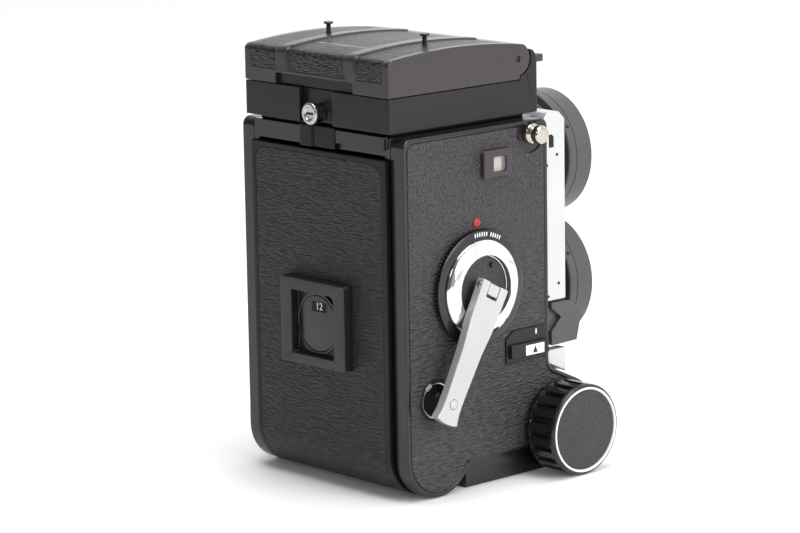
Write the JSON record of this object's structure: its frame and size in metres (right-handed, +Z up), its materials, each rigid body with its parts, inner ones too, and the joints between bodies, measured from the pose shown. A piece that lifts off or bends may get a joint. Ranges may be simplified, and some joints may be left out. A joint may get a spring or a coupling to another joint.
{
  "type": "twin lens reflex camera",
  "caption": "Twin lens reflex roll-film camera with bellows focusing, folding waist-level hood, hinged film door, side crank and interchangeable lens pair on a rack-driven front standard.",
  "frame": {"origin": "centre of the tripod socket in the plane of the base", "axes": "+Z up, the lenses face -Y, the crank side is -X"},
  "size_m": [0.122, 0.1251, 0.1707],
  "materials": {
    "black_paint": "satin black enamel",
    "hood_paint": "satin grey-black enamel",
    "leatherette": "black grained leatherette",
    "satin_silver": "satin silver",
    "chrome": "bright chrome",
    "brass": "machined",
    "steel": "brushed",
    "mirror": "front-silvered",
    "ground_glass": "ground",
    "glass": "coated optical glass",
    "lens_black": "satin dark grey anodised",
    "black_plastic": "moulded",
    "dial_cream": "cream enamel",
    "bellows_cloth": "folded bellows cloth"
  },
  "bodies": {
    "camera_body": {"body_shell": "black_paint", "right_side_cover": "black_paint", "left_side_cover": "black_paint", "right_leather": "leatherette", "left_leather": "leatherette", "base_plate": "black_paint", "reflex_mirror": "mirror", "mirror_frame": "black_paint", "focusing_screen": "ground_glass", "counter_frame": "hood_paint", "counter_glass": "glass", "strap_lugs": "chrome", "accessory_shoe": "steel", "release_plate": "black_paint", "crank_cup": "black_paint", "finder_base": "hood_paint", "hinge_cover": "black_paint", "door_hinge_pin": "steel"},
    "film_door": {"back_door": "black_paint", "door_leather": "leatherette", "memo_frame": "black_paint", "pressure_plate": "black_paint"},
    "film_dial": {"film_dial": "black_paint"},
    "door_latch": {"door_latch": "black_paint"},
    "standard": {"front_standard": "satin_silver", "focus_racks": "steel", "lens_board": "black_paint", "bellows": "bellows_cloth", "viewing_lens": "lens_black", "taking_lens": "lens_black", "lens_elements": "glass", "shutter_housing": "black_paint"},
    "focus_drive": {"focus_shaft": "steel", "focus_knobs": "black_paint", "knob_rings": "chrome"},
    "speed_ring": {"speed_ring": "lens_black"},
    "aperture_ring": {"aperture_ring": "black_paint"},
    "release_lever": {"release_lever": "lens_black"},
    "wind_hub": {"crank_hub": "chrome", "wind_gear": "brass"},
    "crank_arm": {"crank_arm": "satin_silver"},
    "crank_knob": {"crank_knob": "black_paint"},
    "take_up": {"take_up_gear": "brass", "take_up_spool": "black_plastic"},
    "counter_dial": {"counter_dial": "dial_cream"},
    "supply_spool": {"supply_spool": "black_plastic"},
    "selector_ring": {"selector_ring": "black_paint"},
    "release_slider": {"release_slider": "hood_paint"},
    "lid": {"hood_lid": "black_paint", "lid_leather": "leatherette"},
    "flap_right": {"flap_right": "black_paint"},
    "flap_left": {"flap_left": "black_paint"},
    "flap_rear": {"flap_rear": "black_paint"},
    "magnifier": {"magnifier_frame": "black_paint", "magnifier_lens": "glass"},
    "magnifier_tab": {"magnifier_tab": "hood_paint"},
    "finder_screw": {"finder_screw": "chrome"},
    "lens_lock": {"lens_lock_dial": "hood_paint"},
    "upper_spool_knob": {"spool_knob_upper": "black_paint"},
    "lower_spool_knob": {"spool_knob_lower": "black_paint"}
  },
  "joints": [
    {"name": "focus_slide", "type": "slide", "parent": "camera_body", "child": "standard", "axis": [0, -1, 0], "range_m": [0, 0.055], "deforming": ["bellows"]},
    {"name": "focus_knob_turn", "type": "hinge", "parent": "camera_body", "child": "focus_drive", "pos_m": [0, -0.0413, 0.0176], "axis": [1, 0, 0], "range_deg": [0, 530]},
    {"name": "speed_ring_turn", "type": "hinge", "parent": "standard", "child": "speed_ring", "pos_m": [0, -0.061, 0.0637], "axis": [0, -1, 0], "range_deg": [0, 150]},
    {"name": "aperture_ring_turn", "type": "hinge", "parent": "standard", "child": "aperture_ring", "pos_m": [0, -0.067, 0.0637], "axis": [0, -1, 0], "range_deg": [0, 60]},
    {"name": "release_press", "type": "hinge", "parent": "standard", "child": "release_lever", "pos_m": [-0.039, -0.0434, 0.049], "axis": [1, 0, 0], "range_deg": [0, 6], "stiffness_Nm_per_rad": 0.6},
    {"name": "film_door_swing", "type": "hinge", "parent": "camera_body", "child": "film_door", "pos_m": [0, 0.0095, 0.0032], "axis": [-1, 0, 0], "range_deg": [0, 95]},
    {"name": "film_dial_turn", "type": "hinge", "parent": "film_door", "child": "film_dial", "pos_m": [0, 0.039, 0.0625], "axis": [0, 1, 0], "range_deg": [0, 180]},
    {"name": "door_latch_slide", "type": "slide", "parent": "camera_body", "child": "door_latch", "axis": [1, 0, 0], "range_m": [0, 0.003], "stiffness_N_per_m": 400},
    {"name": "wind_turn", "type": "hinge", "parent": "camera_body", "child": "wind_hub", "pos_m": [-0.048, 0, 0.0767], "axis": [1, 0, 0], "continuous": true},
    {"name": "crank_fold", "type": "hinge", "parent": "wind_hub", "child": "crank_arm", "pos_m": [-0.05275, 0, 0.0767], "axis": [0, 0.8788, 0.4772], "range_deg": [0, 180]},
    {"name": "crank_knob_spin", "type": "hinge", "parent": "crank_arm", "child": "crank_knob", "pos_m": [-0.05, 0.02138, 0.03733], "axis": [1, 0, 0], "continuous": true},
    {"name": "take_up_turn", "type": "hinge", "parent": "camera_body", "child": "take_up", "pos_m": [0, 0.01999, 0.10039], "axis": [1, 0, 0], "continuous": true},
    {"name": "counter_turn", "type": "hinge", "parent": "camera_body", "child": "counter_dial", "pos_m": [-0.0397, -0.0102, 0.1104], "axis": [1, 0, 0], "continuous": true},
    {"name": "supply_spool_turn", "type": "hinge", "parent": "camera_body", "child": "supply_spool", "pos_m": [0, 0.0202, 0.0162], "axis": [1, 0, 0], "continuous": true},
    {"name": "selector_turn", "type": "hinge", "parent": "camera_body", "child": "selector_ring", "pos_m": [-0.046, 0, 0.0767], "axis": [1, 0, 0], "range_deg": [0, 25]},
    {"name": "release_lock_slide", "type": "slide", "parent": "camera_body", "child": "release_slider", "axis": [0, 0, 1], "range_m": [0, 0.0035]},
    {"name": "lid_lift", "type": "hinge", "parent": "camera_body", "child": "lid", "pos_m": [0, -0.0276, 0.1586], "axis": [1, 0, 0], "range_deg": [0, 90]},
    {"name": "flap_right_fold", "type": "hinge", "parent": "camera_body", "child": "flap_right", "pos_m": [-0.037, 0.006, 0.1517], "axis": [0, -1, 0], "range_deg": [0, 90]},
    {"name": "flap_left_fold", "type": "hinge", "parent": "camera_body", "child": "flap_left", "pos_m": [0.037, 0.006, 0.1517], "axis": [0, 1, 0], "range_deg": [0, 90]},
    {"name": "flap_rear_fold", "type": "hinge", "parent": "camera_body", "child": "flap_rear", "pos_m": [0, 0.034, 0.1517], "axis": [-1, 0, 0], "range_deg": [0, 90]},
    {"name": "magnifier_swing", "type": "hinge", "parent": "lid", "child": "magnifier", "pos_m": [0, 0.025, 0.161], "axis": [1, 0, 0], "range_deg": [0, 90]},
    {"name": "magnifier_tab_slide", "type": "slide", "parent": "camera_body", "child": "magnifier_tab", "axis": [1, 0, 0], "range_m": [0, 0.003], "stiffness_N_per_m": 200},
    {"name": "finder_screw_turn", "type": "hinge", "parent": "camera_body", "child": "finder_screw", "pos_m": [0, 0.038, 0.1419], "axis": [0, -1, 0], "continuous": true},
    {"name": "lens_lock_turn", "type": "hinge", "parent": "camera_body", "child": "lens_lock", "pos_m": [0.046, -0.008, 0.095], "axis": [1, 0, 0], "range_deg": [0, 90]},
    {"name": "upper_knob_pull", "type": "slide", "parent": "camera_body", "child": "upper_spool_knob", "axis": [1, 0, 0], "range_m": [0, 0.006]},
    {"name": "lower_knob_pull", "type": "slide", "parent": "camera_body", "child": "lower_spool_knob", "axis": [1, 0, 0], "range_m": [0, 0.006]}
  ],
  "couplings": [
    {"joint": "focus_knob_turn", "follows": "focus_slide", "rad_per_m": 166.67},
    {"joint": "take_up_turn", "follows": "wind_turn", "ratio": -1.5833},
    {"joint": "counter_turn", "follows": "wind_turn", "ratio": 0.0714},
    {"joint": "flap_right_fold", "follows": "lid_lift", "ratio": 1},
    {"joint": "flap_left_fold", "follows": "lid_lift", "ratio": 1},
    {"joint": "flap_rear_fold", "follows": "lid_lift", "ratio": 1},
    {"joint": "magnifier_swing", "follows": "lid_lift", "ratio": 1}
  ]
}
